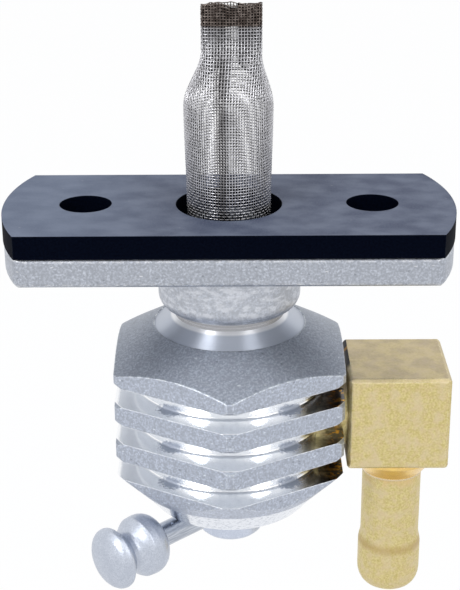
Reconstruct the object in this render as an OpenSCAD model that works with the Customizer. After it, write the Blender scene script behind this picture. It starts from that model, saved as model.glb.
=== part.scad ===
// Fuel tap for a small tank. Lengths are in millimetres.
// The origin is the centre of the gasket's top face, on the axis of the filter and the valve.
// +Z points up into the tank, +X towards the outlet, and -Y is the front.

/* [Flange] */
// Distance between the two bolt holes, centre to centre
bolt_spacing = 34; // [31:0.5:38]
// Shank diameter of the mounting bolts
bolt_d = 6; // [5:0.25:7]
// Diameter of the round bar that the flange is turned from
flange_d = 53.3; // [50:0.1:60]
// Width across the two milled flats of the flange
flange_w = 22.2; // [20:0.1:26]
// Thickness of the flange plate
flange_t = 3.5; // [2.4:0.1:5]
// Diameter of the boss under the flange plate
boss_d = 17.2; // [16.6:0.1:20]
// Height of the boss under the flange plate
boss_h = 6.4; // [5.5:0.1:9]
// Radius round the lower edge of the boss
boss_edge_r = 1.75; // [0.5:0.05:1.9]
// Radius round the four corners of the flange plate, seen from above
flange_corner_r = 1.4; // [0.4:0.1:3]
// Bevel on the outer edges of the flange plate
flange_bevel = 0.35; // [0.1:0.05:0.8]

/* [Gasket] */
// Thickness of the rubber gasket
gasket_t = 2.8; // [1.5:0.1:4]
// How far the gasket stands out past the flange plate all round
gasket_over = 0.1; // [0.05:0.05:0.6]
// Diameter of the gasket's centre hole
gasket_bore_d = 12.6; // [12:0.1:16]

/* [Filter] */
// Outside diameter of the filter sock at its foot
filter_foot_d = 10.1; // [9.6:0.1:10.8]
// Outside diameter of the filter sock at its widest
filter_belly_d = 10.6; // [10:0.1:12]
// Height of the widest place above the gasket
filter_belly_z = 12; // [9:0.5:13]
// Height of the crimped top above the gasket
filter_top_z = 24; // [22:0.5:32]
// Height of the flat crimp
crimp_h = 2.9; // [2:0.1:4]
// Width of the flat crimp
crimp_w = 7.1; // [5:0.1:9]
// Thickness of the flat crimp, all layers together
crimp_t = 1.6; // [1.2:0.1:2.4]
// Distance that the crimp sits off the axis, towards the outlet
crimp_lean = 0.4; // [0:0.05:1]
// Wall of the filter sock
filter_wall = 0.3; // [0.2:0.05:0.4]
// Height of the woven ridges above the wall
filter_ridge = 0.08; // [0.02:0.01:0.12]
// Columns of gaps round the sock
gap_columns = 12; // [8:1:12]
// Rows of gaps up the sock
gap_rows = 10; // [6:1:10]

/* [Body] */
// Hexagon bar, size across its flats
hex_af = 27.65; // [26.4:0.05:30]
// Thread diameter of the neck that screws into the boss
neck_d = 12.6; // [12.2:0.1:13]
// Diameter of the collar that stops against the boss
collar_d = 13.4; // [13.2:0.1:13.6]
// Height of the collar
collar_h = 0.9; // [0.5:0.1:2]
// Diameter over the hexagon's turned corners
corner_d = 31.5; // [30:0.1:31.8]
// Slope of the turned cone above and the corners, from level
cone_angle = 30; // [24:1:34]
// Outer diameter of the polished ring round the collar
polish_d = 18.4; // [17:0.1:20]
// Height from the foot of the collar to the first groove
head_h = 6.7; // [6.4:0.1:8]
// Number of turned grooves
groove_n = 3; // [3:1:4]
// Height of one groove
groove_h = 2.4; // [2:0.1:2.6]
// Thickness of the fin between two grooves
fin_h = 2.5; // [2.2:0.1:3]
// Diameter at the root of the grooves
root_d = 23.4; // [22:0.1:25]
// Radius in the corners of a groove's root
root_r = 0.35; // [0.1:0.05:0.6]
// Diameter of the cone under the last groove, at its top
skirt_top_d = 31; // [29:0.1:31.4]
// Diameter where the tumbled cone meets the polished skirt
skirt_mid_d = 25; // [23:0.1:26]
// Diameter of the skirt at the bottom of the body
skirt_end_d = 20.2; // [18:0.1:22]
// Height of the tumbled cone
skirt_cone_h = 3.2; // [2.6:0.1:4]
// Height of the polished skirt
skirt_h = 3.1; // [2.8:0.1:4]

/* [Valve] */
// Diameter of the valve chamber
chamber_d = 11; // [10.6:0.1:11.6]
// Diameter of the fuel way through the neck
fuel_way_d = 6; // [5:0.1:6.2]
// Diameter of the port through the side of the spool
port_d = 5; // [4:0.1:5.4]
// Height from the foot of the collar down to the chamber's roof
roof_drop = 3.9; // [3.6:0.1:4.2]
// Diameter of the spool's stem
stem_d = 8; // [7:0.1:8.4]
// Length of the stem below the body
stem_out = 5.2; // [4.6:0.1:8]
// Diameter of the stop pin
stop_pin_d = 1.2; // [1:0.1:1.4]
// Turn of the spool between its two stops
stop_travel = 90; // [60:5:90]
// Thickness of the thrust washer
washer_t = 0.8; // [0.5:0.1:1.2]
// Thickness of the retaining ring
ring_t = 1; // [0.8:0.1:1.2]
// Wall of the body left under the retaining ring
ring_lip = 0.7; // [0.5:0.1:1]

/* [Lever] */
// Angle of the lever from the side away from the outlet, towards the front
lever_angle = 43; // [0:1:90]
// Diameter of the lever rod
lever_d = 3; // [2.4:0.1:3.4]
// Distance from the bottom of the body down to the lever rod's axis
lever_drop = 1.9; // [1.8:0.05:2.4]
// Distance from the valve's axis to the middle of the knob's inner bead
knob_at = 14.9; // [14:0.1:20]
// Diameter of the knob's two beads
knob_d = 7.7; // [6.6:0.1:8]
// Distance between the knob's two beads
bead_pitch = 4.3; // [3.6:0.1:5]
// Diameter at the root of the groove between the beads
knob_root_d = 5.4; // [4.8:0.1:5.8]
// Depth of the knob's domed end
dome_h = 1.8; // [1.4:0.1:2.4]

/* [Outlet] */
// Distance from the foot of the collar down to the outlet's axis
outlet_drop = 12.85; // [12.2:0.05:13.4]
// Thickness of the square brass block
block_w = 12.4; // [11.6:0.1:13.6]
// Height of the brass block
block_h = 12.2; // [11.8:0.1:14]
// Gap between the hexagon's flat and the block
block_gap = 0.55; // [0.2:0.05:1]
// Bevel on the edges of the block
block_bevel = 0.4; // [0.1:0.05:0.8]
// Thread diameter of the block's nipple
nipple_d = 10.2; // [9.8:0.1:10.6]
// Diameter of the fuel way through the elbow
elbow_way_d = 4.6; // [3.6:0.1:5]
// Height of the turned cone between the block and the hose tail's tube
tail_cone_h = 2.9; // [1.5:0.1:4]
// Outside diameter of the hose tail's tube
tube_d = 7.45; // [6.8:0.05:7.8]
// Length of plain tube above the barb
tube_len = 8.9; // [7:0.1:20]
// Diameter of the hose tail's barb
barb_d = 8; // [7.9:0.05:9]
// Height over which the tube swells to the barb
barb_slope_h = 1.8; // [0.6:0.1:3]
// Length of the barb's straight part
barb_len = 3.6; // [2.6:0.1:6]
// Height of the rounding at the end of the hose tail
tail_end_h = 2.4; // [1:0.1:3]

/* [Hidden] */

$fn = 96;
// A little more than a cut needs, so that it breaks through the face
cut = 1;
// Radial clearance of the turning spool in the chamber
run_clear = 0.05;
// Radial clearance of fixed pieces in their seats
fit_clear = 0.02;
// End play of the spool between the roof and the washer
end_play = 0.1;
// Clearance of a mounting bolt in its hole
bolt_clear = 0.4;
// How much tighter the rubber holds a bolt than the plate does
gasket_grip = 0.2;

// Levels, from the tank face down
z_gasket = -gasket_t;
z_plate = z_gasket - flange_t;
z_boss = z_plate - boss_h;
z_foot = z_boss - collar_h;
z_head = z_foot - head_h;
groove_pitch = groove_h + fin_h;
z_last = z_head - groove_n * groove_h - (groove_n - 1) * fin_h;
z_skirt = z_last - skirt_cone_h;
z_bottom = z_skirt - skirt_h;
z_roof = z_foot - roof_drop;
z_outlet = z_foot - outlet_drop;
z_lever = z_bottom - lever_drop;
z_stem = z_bottom - stem_out;

// Neck, its seal and the spigot that the filter is pushed over
neck_seal_t = 0.8;
neck_edge = 0.5;
z_neck = z_plate - neck_seal_t;
// The sock is drawn with flat faces, so the round spigot keeps clear of their middles
spigot_d = (filter_foot_d - 2 * filter_wall) * cos(0.15 * 360 / gap_columns) - 2 * fit_clear;
spigot_h = 5.2;
flange_bore_d = filter_foot_d + 1.1;

// Retaining ring, washer and spool, stacked up from the bottom of the body
ring_groove_d = chamber_d + 1.3;
ring_width = 1.1;
z_ring = z_bottom + ring_lip + end_play / 2;
z_washer = z_ring + ring_t + fit_clear;
z_shoulder = z_washer + washer_t + end_play / 2;
z_spool = z_roof - end_play;
spool_r = chamber_d / 2 - run_clear;
spool_bore_d = port_d + 0.4;
stem_bevel = 0.4;

// How far the knob's inner bead reaches back from its middle
bead_back = 2.1;

// Plastic seat of the port, which sets how far apart the rubber rings lie
port_seat_wall = 1.6;
port_seat_len = 2.8;

// Rubber rings of the spool
ring_section = 1.25;
seal_clear = 0.03;
seal_ring_r = chamber_d / 2 - seal_clear - ring_section / 2;
seal_groove_r = seal_ring_r - ring_section / 2 - fit_clear;
seal_groove_h = ring_section + 0.4;
z_seal_upper = z_outlet + port_seat_d() / 2 + seal_groove_h / 2 + 0.4;
z_seal_lower = z_outlet - port_seat_d() / 2 - seal_groove_h / 2 - 0.4;

// Stop pin and the arc slot that it runs in
stop_inset = 1.3;
stop_r = chamber_d / 2 - stop_inset;
stop_depth = 1.6;
stop_clear = 0.12;
pin_seat_depth = 1.8;
pin_angle = 135;

// Nipple, block and elbow, out from the valve's axis
nipple_x = chamber_d / 2 + port_seat_len;
flat_x = hex_af / 2;
block_x = flat_x + block_gap;
elbow_x = block_x + block_w / 2;

// Hose tail: its cone starts inside the bevels of the block's underside and ends in a small lip
z_block = z_outlet - block_h / 2;
tail_spigot_d = tube_d - 1.4;
tail_spigot_h = 3;
tail_cone_r = block_w / 2 - block_bevel - 0.05;
tail_band_h = 0.45;
tail_lip = 0.15;
z_tube = z_block - tail_cone_h;
z_barb = z_tube - tube_len;
z_tail = z_barb - barb_slope_h - barb_len - tail_end_h;
tail_end_w = 1.55;

function port_seat_d() = port_d + 2 * port_seat_wall;

// Points of an arc about [x, z], from angle a to angle b
function arc(x, z, r, a, b, steps = 6) =
    [for (i = [0:steps]) let (t = a + (b - a) * i / steps) [x + r * cos(t), z + r * sin(t)]];

// Height of the turned cone's surface at radius r
function cone_z(r) = z_foot - (r - collar_d / 2) * tan(cone_angle);

// Turns what is drawn along Z so that it points along +X from the valve's axis at height z
module along_x(z) {
    translate([0, 0, z])
        rotate([0, 90, 0])
            children();
}

// Turns a piece with the lever from its open place to where it stands
module turned() {
    rotate([0, 0, lever_angle])
        children();
}

// Plan of the flange and the gasket: round bar with two milled flats
module flange_plan(d, w) {
    intersection() {
        circle(d = d);
        square([d + cut, w], center = true);
    }
}

module bolt_holes(d, top, depth) {
    for (side = [-1, 1])
        translate([side * bolt_spacing / 2, 0, top - depth - cut])
            cylinder(d = d, h = depth + 2 * cut);
}

module flange_gasket() {
    color([0.11, 0.12, 0.14])
    difference() {
        translate([0, 0, z_gasket])
            linear_extrude(gasket_t)
                flange_plan(flange_d + 2 * gasket_over, flange_w + 2 * gasket_over);
        bolt_holes(bolt_d + bolt_clear - gasket_grip, 0, gasket_t);
        translate([0, 0, z_gasket - cut])
            cylinder(d = gasket_bore_d, h = gasket_t + 2 * cut);
    }
}

// Turned shape of the flange: plate and boss in one piece
module flange_turned() {
    rotate_extrude()
        polygon(concat(
            [[0, z_gasket],
             [flange_d / 2 - flange_bevel, z_gasket],
             [flange_d / 2, z_gasket - flange_bevel],
             [flange_d / 2, z_plate + flange_bevel],
             [flange_d / 2 - flange_bevel, z_plate],
             [boss_d / 2, z_plate]],
            arc(boss_d / 2 - boss_edge_r, z_boss + boss_edge_r, boss_edge_r, 0, -90),
            [[0, z_boss]]));
}

// The two milled flats, with their bevelled edges, seen from the end of the plate
module flange_flats() {
    half = flange_w / 2;
    rotate([90, 0, 90])
        translate([0, 0, -flange_d])
            linear_extrude(2 * flange_d)
                polygon([
                    [-half + flange_bevel, z_gasket],
                    [half - flange_bevel, z_gasket],
                    [half, z_gasket - flange_bevel],
                    [half, z_plate + flange_bevel],
                    [half - flange_bevel, z_plate],
                    [half - flange_bevel, z_boss - cut],
                    [-half + flange_bevel, z_boss - cut],
                    [-half + flange_bevel, z_plate],
                    [-half, z_plate + flange_bevel],
                    [-half, z_gasket - flange_bevel]]);
}

// Cutter that rounds the corner between the front flat and the right end, as seen from above
module corner_cutter() {
    big_r = flange_d / 2;
    half = flange_w / 2;
    small_r = flange_corner_r;
    centre_x = sqrt(pow(big_r - small_r, 2) - pow(half - small_r, 2));
    end_turn = -atan2(half - small_r, centre_x);
    translate([0, 0, z_plate - cut])
        linear_extrude(flange_t + 2 * cut)
            polygon(concat(
                arc(centre_x, small_r - half, small_r, -90, end_turn),
                [[(big_r + cut) * cos(end_turn), (big_r + cut) * sin(end_turn)],
                 [big_r + cut, -half - cut],
                 [centre_x, -half - cut]]));
}

module flange_plate() {
    color([0.78, 0.79, 0.81])
    difference() {
        intersection() {
            flange_turned();
            flange_flats();
        }
        for (a = [0, 1], b = [0, 1])
            mirror([a, 0, 0])
                mirror([0, b, 0])
                    corner_cutter();
        bolt_holes(bolt_d + bolt_clear, z_gasket, flange_t);
        translate([0, 0, z_plate - cut])
            cylinder(d = flange_bore_d, h = flange_t + 2 * cut);
        translate([0, 0, z_boss - cut])
            cylinder(d = neck_d + 2 * fit_clear, h = boss_h + cut);
    }
}

module neck_seal() {
    color([0.72, 0.42, 0.24])
    translate([0, 0, z_neck])
        difference() {
            cylinder(d = neck_d - 2 * fit_clear, h = neck_seal_t);
            translate([0, 0, -cut])
                cylinder(d = filter_foot_d + 0.2, h = neck_seal_t + 2 * cut);
        }
}

// Outline of one groove, from its upper edge out to low_r on its lower edge, with rounded root corners
function groove_points(top, low_r) = concat(
    [[corner_d / 2 - root_r, top]],
    arc(root_d / 2 + root_r, top - root_r, root_r, 90, 180, 4),
    arc(root_d / 2 + root_r, top - groove_h + root_r, root_r, 180, 270, 4),
    [[low_r, top - groove_h]]);

// Hollow of the polished ring round the collar: a shallow arc cut into the cone
function polish_points(steps = 6) =
    let (inner = collar_d / 2 + 0.25, outer = polish_d / 2, sag = 0.22)
    [for (i = [0:steps])
        let (t = i / steps, r = inner + (outer - inner) * t)
        [r, cone_z(r) - sag * (0.6 + 0.4 * sin(180 * t))]];

// Turned outline of the body from the spigot down to the skirt
function body_points() = concat(
    [[0, z_neck + spigot_h],
     [spigot_d / 2 - 0.3, z_neck + spigot_h],
     [spigot_d / 2, z_neck + spigot_h - 0.3],
     [spigot_d / 2, z_neck],
     [neck_d / 2 - neck_edge, z_neck],
     [neck_d / 2, z_neck - neck_edge],
     [neck_d / 2, z_boss],
     [collar_d / 2, z_boss],
     [collar_d / 2, z_foot - 0.1]],
    polish_points(),
    [[polish_d / 2 + 0.05, cone_z(polish_d / 2 + 0.05)],
     [corner_d / 2, cone_z(corner_d / 2)],
     [corner_d / 2, z_head + root_r]],
    [for (k = [0:groove_n - 1]) each concat(
        k == 0 ? [] : [[corner_d / 2, z_head - k * groove_pitch + fin_h - root_r],
                       [corner_d / 2, z_head - k * groove_pitch + root_r]],
        groove_points(z_head - k * groove_pitch,
                      k < groove_n - 1 ? corner_d / 2 - root_r : skirt_top_d / 2))],
    [[skirt_mid_d / 2, z_skirt],
     [skirt_mid_d / 2 - 0.15, z_skirt],
     [skirt_end_d / 2, z_bottom + 0.25],
     [skirt_end_d / 2 - 0.25, z_bottom],
     [0, z_bottom]]);

module body_turned() {
    rotate_extrude()
        polygon(body_points());
}

// Hexagon bar with a corner to the front and flats to the left and the right
module hex_bar() {
    rotate([0, 0, 30])
        translate([0, 0, z_bottom - cut])
            cylinder(d = hex_af / cos(30), h = z_neck + spigot_h - z_bottom + 2 * cut, $fn = 6);
}

module valve_body() {
    color([0.74, 0.75, 0.77])
    difference() {
        intersection() {
            hex_bar();
            body_turned();
        }
        translate([0, 0, z_roof - cut])
            cylinder(d = fuel_way_d, h = z_neck + spigot_h - z_roof + 2 * cut);
        translate([0, 0, z_bottom - cut])
            cylinder(d = chamber_d, h = z_roof - z_bottom + cut);
        translate([0, 0, z_bottom + ring_lip])
            cylinder(d = ring_groove_d, h = ring_t + end_play);
        along_x(z_outlet)
            cylinder(d = port_seat_d() + 2 * fit_clear, h = nipple_x + cut);
        along_x(z_outlet)
            translate([0, 0, nipple_x])
                cylinder(d = nipple_d + 2 * fit_clear, h = corner_d);
        rotate([0, 0, pin_angle])
            translate([stop_r, 0, z_roof - cut])
                cylinder(d = stop_pin_d, h = pin_seat_depth + cut, $fn = 32);
    }
}

// Turned outline of the spool: two seal grooves above a shoulder and a stem
function seal_groove_points(z) = [
    [spool_r, z + seal_groove_h / 2],
    [seal_groove_r, z + seal_groove_h / 2],
    [seal_groove_r, z - seal_groove_h / 2],
    [spool_r, z - seal_groove_h / 2]];

function spool_points() = concat(
    [[0, z_spool], [spool_r, z_spool]],
    seal_groove_points(z_seal_upper),
    seal_groove_points(z_seal_lower),
    [[spool_r, z_shoulder],
     [stem_d / 2, z_shoulder],
     [stem_d / 2, z_stem + stem_bevel],
     [stem_d / 2 - stem_bevel, z_stem],
     [0, z_stem]]);

// Arc slot for the stop pin, drawn where it is with the valve open
module stop_slot() {
    slot_r = stop_pin_d / 2 + stop_clear;
    translate([0, 0, z_spool - stop_depth]) {
        rotate([0, 0, pin_angle - stop_travel])
            rotate_extrude(angle = stop_travel)
                translate([stop_r - slot_r, 0])
                    square([2 * slot_r, stop_depth + cut]);
        for (a = [pin_angle - stop_travel, pin_angle])
            rotate([0, 0, a])
                translate([stop_r, 0, 0])
                    cylinder(r = slot_r, h = stop_depth + cut, $fn = 32);
    }
}

module valve_spool() {
    color([0.80, 0.81, 0.83])
    turned()
    difference() {
        rotate_extrude()
            polygon(spool_points());
        translate([0, 0, z_outlet - port_d / 2])
            cylinder(d = spool_bore_d, h = z_spool - z_outlet + port_d / 2 + cut);
        along_x(z_outlet)
            cylinder(d = port_d, h = chamber_d);
        stop_slot();
        along_x(z_lever)
            translate([0, 0, -stem_d])
                cylinder(d = lever_d + 2 * fit_clear, h = stem_d + rod_inner(), $fn = 48);
    }
}

// How far the lever rod reaches past the valve's axis, inside the stem
function rod_inner() = stem_d / 4;

module spool_ring(z) {
    color([0.09, 0.09, 0.10])
    translate([0, 0, z])
        rotate_extrude()
            translate([seal_ring_r, 0])
                circle(d = ring_section, $fn = 24);
}

module spool_ring_upper() {
    spool_ring(z_seal_upper);
}

module spool_ring_lower() {
    spool_ring(z_seal_lower);
}

module port_seat() {
    color([0.93, 0.92, 0.88])
    difference() {
        along_x(z_outlet)
            cylinder(d = port_seat_d(), h = nipple_x - fit_clear);
        along_x(z_outlet)
            cylinder(d = port_d, h = nipple_x + cut);
        translate([0, 0, z_outlet - port_seat_d()])
            cylinder(d = chamber_d + fit_clear, h = 2 * port_seat_d());
    }
}

module stop_pin() {
    color([0.55, 0.56, 0.58])
    rotate([0, 0, pin_angle])
        translate([stop_r, 0, z_spool - stop_depth + stop_clear])
            cylinder(d = stop_pin_d - 2 * fit_clear,
                     h = z_roof - z_spool + stop_depth + pin_seat_depth - 2 * stop_clear, $fn = 32);
}

module thrust_washer() {
    color([0.93, 0.92, 0.88])
    translate([0, 0, z_washer])
        difference() {
            cylinder(r = spool_r, h = washer_t);
            translate([0, 0, -cut])
                cylinder(d = stem_d + 0.3, h = washer_t + 2 * cut);
        }
}

// Internal spring ring with a gap and two eyes for the pliers
module retaining_ring() {
    outer = ring_groove_d / 2 - fit_clear;
    inner = outer - ring_width;
    eye_r = 0.7;
    eye_at = stem_d / 2 + 0.2 + eye_r;
    eye_turn = 17;
    color([0.36, 0.37, 0.39])
    translate([0, 0, z_ring])
        linear_extrude(ring_t - end_play / 2)
            difference() {
                union() {
                    difference() {
                        circle(r = outer);
                        circle(r = inner);
                    }
                    for (side = [-1, 1])
                        rotate([0, 0, 90 + side * eye_turn])
                            translate([eye_at, 0])
                                circle(r = eye_r, $fn = 32);
                }
                for (side = [-1, 1])
                    rotate([0, 0, 90 + side * eye_turn])
                        translate([eye_at, 0])
                            circle(r = eye_r / 2, $fn = 24);
                translate([0, outer])
                    square([1.4, 4 * ring_width], center = true);
            }
}

module lever_rod() {
    color([0.62, 0.63, 0.65])
    turned()
    along_x(z_lever)
        translate([0, 0, -knob_at - bead_pitch / 2])
            cylinder(d = lever_d, h = knob_at + bead_pitch / 2 + rod_inner() - fit_clear, $fn = 48);
}

// Knob outline along its axis: rounded inner bead, groove, sharp-edged outer bead and dome
function knob_points() =
    let (r = knob_d / 2, neck = knob_root_d / 2, back = lever_d / 2 + 0.9, half = 0.3,
         fall = 0.5 * bead_pitch)
    concat(
        [[0, -bead_back]],
        [for (i = [0:6]) let (t = 90 * i / 6)
            [back + (r - back) * sin(t), -half - (bead_back - half) * cos(t)]],
        [for (i = [1:6]) let (t = 180 * i / 6)
            [neck + (r - neck) * (1 + cos(t)) / 2, half + fall * i / 6]],
        [[neck + 0.12, 0.72 * bead_pitch],
         [r - 0.4, bead_pitch - 0.4],
         [r - 0.05, bead_pitch - 0.25]],
        [for (i = [0:8]) let (t = 90 * i / 8)
            [i == 8 ? 0 : r * cos(t), bead_pitch + dome_h * sin(t)]]);

module lever_knob() {
    color([0.76, 0.77, 0.79])
    turned()
    translate([-knob_at, 0, z_lever])
        rotate([0, -90, 0])
            difference() {
                rotate_extrude()
                    polygon(knob_points());
                translate([0, 0, -bead_back - cut])
                    cylinder(d = lever_d + 2 * fit_clear, h = bead_back + cut + bead_pitch / 2 + fit_clear,
                             $fn = 48);
            }
}

// Square with its corners cut off, the section of the block seen along one axis
module bevelled(w, h) {
    b = block_bevel;
    polygon([
        [-w / 2 + b, -h / 2], [w / 2 - b, -h / 2], [w / 2, -h / 2 + b], [w / 2, h / 2 - b],
        [w / 2 - b, h / 2], [-w / 2 + b, h / 2], [-w / 2, h / 2 - b], [-w / 2, -h / 2 + b]]);
}

module block_body() {
    translate([elbow_x, 0, z_outlet])
        intersection() {
            linear_extrude(block_h, center = true)
                bevelled(block_w, block_w);
            rotate([90, 0, 0])
                linear_extrude(block_w, center = true)
                    bevelled(block_w, block_h);
            rotate([90, 0, 90])
                linear_extrude(block_w, center = true)
                    bevelled(block_w, block_h);
        }
}

module elbow_block() {
    color([0.76, 0.66, 0.36])
    difference() {
        union() {
            block_body();
            along_x(z_outlet)
                translate([0, 0, nipple_x + fit_clear])
                    cylinder(d = nipple_d, h = elbow_x - nipple_x);
        }
        along_x(z_outlet)
            cylinder(d = elbow_way_d, h = elbow_x + elbow_way_d / 2);
        translate([elbow_x, 0, z_block - cut])
            cylinder(d = elbow_way_d - 0.4, h = block_h / 2 + cut);
        translate([elbow_x, 0, z_block - cut])
            cylinder(d = tail_spigot_d + 2 * fit_clear, h = tail_spigot_h + fit_clear + cut);
    }
}

// Turned outline of the hose tail, from its spigot in the block down to its rounded end
function tail_points() = concat(
    [[0, z_block + tail_spigot_h],
     [tail_spigot_d / 2, z_block + tail_spigot_h],
     [tail_spigot_d / 2, z_block],
     [tail_cone_r, z_block],
     [tail_cone_r, z_block - tail_band_h],
     [tube_d / 2 + tail_lip, z_tube + tail_lip],
     [tube_d / 2 + tail_lip, z_tube],
     [tube_d / 2, z_tube - tail_lip]],
    [for (i = [0:5]) let (t = i / 5)
        [tube_d / 2 + (barb_d - tube_d) / 2 * smooth(t), z_barb - barb_slope_h * t]],
    [[barb_d / 2, z_tail + tail_end_h]],
    [for (i = [1:6]) let (t = 90 * i / 6)
        [barb_d / 2 - tail_end_w * (1 - cos(t)), z_tail + tail_end_h * (1 - sin(t))]],
    [[0, z_tail]]);

module hose_tail() {
    color([0.76, 0.68, 0.42])
    difference() {
        translate([elbow_x, 0, 0])
            rotate_extrude()
                polygon(tail_points());
        translate([elbow_x, 0, z_tail - cut])
            cylinder(d = elbow_way_d - 0.3, h = z_block + tail_spigot_h - z_tail + 2 * cut);
    }
}

// Filter sock: one closed shell, lofted from a round foot to a flat crimp, with gaps in its wall.
// Its lines run round and up the sock; each column and each row of gaps has its own lines.
column_lines = 4;
row_lines = 3;
lines_round = gap_columns * column_lines;
crimp_foot_z = filter_top_z - crimp_h;
neck_in_z = crimp_foot_z - 2;
gap_low_z = 1;
gap_high_z = neck_in_z - 3;
row_pitch = (gap_high_z - gap_low_z) / gap_rows;
seam_turn = -96;

// Heights of the level lines: hem, rows of gaps, shoulder and crimp
sock_levels = concat(
    [z_neck, 0.3],
    [for (j = [0:gap_rows - 1]) each [
        gap_low_z + j * row_pitch,
        gap_low_z + (j + 0.62) * row_pitch,
        gap_low_z + (j + 0.81) * row_pitch]],
    [gap_high_z, gap_high_z + 1.2, neck_in_z - 0.8, neck_in_z]);
crimp_levels = [crimp_foot_z - 1, crimp_foot_z, filter_top_z];
inner_rows = len(sock_levels);
outer_levels = concat(sock_levels, crimp_levels);
outer_rows = len(outer_levels);

function smooth(t) = let (c = max(0, min(1, t))) c * c * (3 - 2 * c);
function swell(z) = filter_foot_d / 2 + (filter_belly_d - filter_foot_d) / 2 * smooth(z / filter_belly_z);
function pinch(z, end) = smooth((z - filter_belly_z) / (end - filter_belly_z));
function half_width(z) = swell(z) + (crimp_w / 2 - swell(z)) * pinch(z, neck_in_z - 1);
function half_depth(z) = swell(z) + (crimp_t / 2 - swell(z)) * pinch(z, crimp_foot_z);
function square_up(z) = 2 + 2 * pinch(z, crimp_foot_z);
function bow(c, n) = sign(c) * pow(abs(c), 2 / n);

// Direction of line i: a rib takes the first two fifths of a column, the gap takes the rest
function line_turn(i) =
    let (share = [0, 0.2, 0.4, 0.7][i % column_lines])
    seam_turn - 0.2 * 360 / gap_columns + 360 * (floor(i / column_lines) + share) / gap_columns;

// Ridges stand proud along the middle of each rib and of each cross-wire band
function in_gap_rows(j) = j >= 2 && j < 2 + gap_rows * row_lines;
function is_ridge(i, j) =
    in_gap_rows(j) && (i % column_lines == 1 || (j - 2) % row_lines == 2);

function sock_point(i, z, inset) =
    let (t = line_turn(i), n = square_up(z))
    [crimp_lean * pinch(z, neck_in_z) + (half_width(z) - inset) * bow(cos(t), n),
     (half_depth(z) - inset) * bow(sin(t), n),
     z];

outer_points = [for (j = [0:outer_rows - 1]) for (i = [0:lines_round - 1])
    sock_point(i, outer_levels[j], is_ridge(i, j) ? 0 : filter_ridge)];
inner_points = [for (j = [0:inner_rows - 1]) for (i = [0:lines_round - 1])
    sock_point(i, sock_levels[j], filter_wall)];
inner_from = len(outer_points);
outer_cap = inner_from + len(inner_points);
inner_cap = outer_cap + 1;

function on_outer(i, j) = j * lines_round + i % lines_round;
function on_inner(i, j) = inner_from + on_outer(i, j);
function is_gap(i, j) =
    in_gap_rows(j) && (j - 2) % row_lines == 0 && i % column_lines >= 2;

// Two triangles for the four corners of a face, given clockwise from outside
function two(a, b, c, d) = [[a, b, c], [a, c, d]];

sock_faces = concat(
    [for (j = [0:outer_rows - 2]) for (i = [0:lines_round - 1]) if (!is_gap(i, j))
        each two(on_outer(i, j), on_outer(i, j + 1), on_outer(i + 1, j + 1), on_outer(i + 1, j))],
    [for (j = [0:inner_rows - 2]) for (i = [0:lines_round - 1]) if (!is_gap(i, j))
        each two(on_inner(i, j), on_inner(i + 1, j), on_inner(i + 1, j + 1), on_inner(i, j + 1))],
    [for (i = [0:lines_round - 1])
        each two(on_outer(i, 0), on_outer(i + 1, 0), on_inner(i + 1, 0), on_inner(i, 0))],
    [for (i = [0:lines_round - 1])
        [on_outer(i, outer_rows - 1), outer_cap, on_outer(i + 1, outer_rows - 1)]],
    [for (i = [0:lines_round - 1])
        [on_inner(i, inner_rows - 1), on_inner(i + 1, inner_rows - 1), inner_cap]],
    [for (j = [0:inner_rows - 2]) for (i = [0:lines_round - 1]) if (is_gap(i, j)) each concat(
        two(on_outer(i, j), on_inner(i, j), on_inner(i + 1, j), on_outer(i + 1, j)),
        two(on_outer(i + 1, j + 1), on_inner(i + 1, j + 1), on_inner(i, j + 1), on_outer(i, j + 1)),
        is_gap(i - 1, j) ? [] : two(on_outer(i, j + 1), on_inner(i, j + 1), on_inner(i, j), on_outer(i, j)),
        is_gap(i + 1, j) ? [] : two(on_outer(i + 1, j), on_inner(i + 1, j), on_inner(i + 1, j + 1),
                                    on_outer(i + 1, j + 1)))]);

module filter_screen() {
    color([0.62, 0.61, 0.60])
    polyhedron(
        points = concat(outer_points, inner_points,
            [[crimp_lean, 0, filter_top_z], [crimp_lean, 0, neck_in_z]]),
        faces = sock_faces,
        convexity = 10);
}

filter_screen();
flange_gasket();
flange_plate();
neck_seal();
valve_body();
valve_spool();
spool_ring_upper();
spool_ring_lower();
port_seat();
stop_pin();
thrust_washer();
retaining_ring();
lever_rod();
lever_knob();
elbow_block();
hose_tail();
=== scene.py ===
# %% [markdown]
# # Fuel tap: the looks
# The solids come from the CAD model as a fixed frame, in metres. This script dresses them:
# a woven wire sock, tumbled and turned aluminium, dusty rubber and dull brass, then a pale
# studio and the camera of the photograph. The cells run from top to bottom.

# %% Load the frame
import math
import random

import bpy
import numpy as np
from mathutils import Matrix, Vector


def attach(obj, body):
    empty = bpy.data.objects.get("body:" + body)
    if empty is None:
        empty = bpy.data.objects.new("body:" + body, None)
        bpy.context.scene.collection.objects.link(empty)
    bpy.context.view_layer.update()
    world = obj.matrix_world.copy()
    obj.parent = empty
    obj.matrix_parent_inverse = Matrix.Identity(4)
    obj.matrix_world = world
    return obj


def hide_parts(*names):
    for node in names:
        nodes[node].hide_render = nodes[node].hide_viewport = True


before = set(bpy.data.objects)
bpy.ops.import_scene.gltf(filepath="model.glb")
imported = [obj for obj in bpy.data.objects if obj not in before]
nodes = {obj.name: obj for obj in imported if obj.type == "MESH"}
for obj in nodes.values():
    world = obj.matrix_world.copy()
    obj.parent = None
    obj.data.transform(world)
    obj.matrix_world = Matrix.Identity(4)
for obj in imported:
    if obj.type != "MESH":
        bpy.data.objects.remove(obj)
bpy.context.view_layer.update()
MM = 0.001
random.seed(7)

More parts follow.
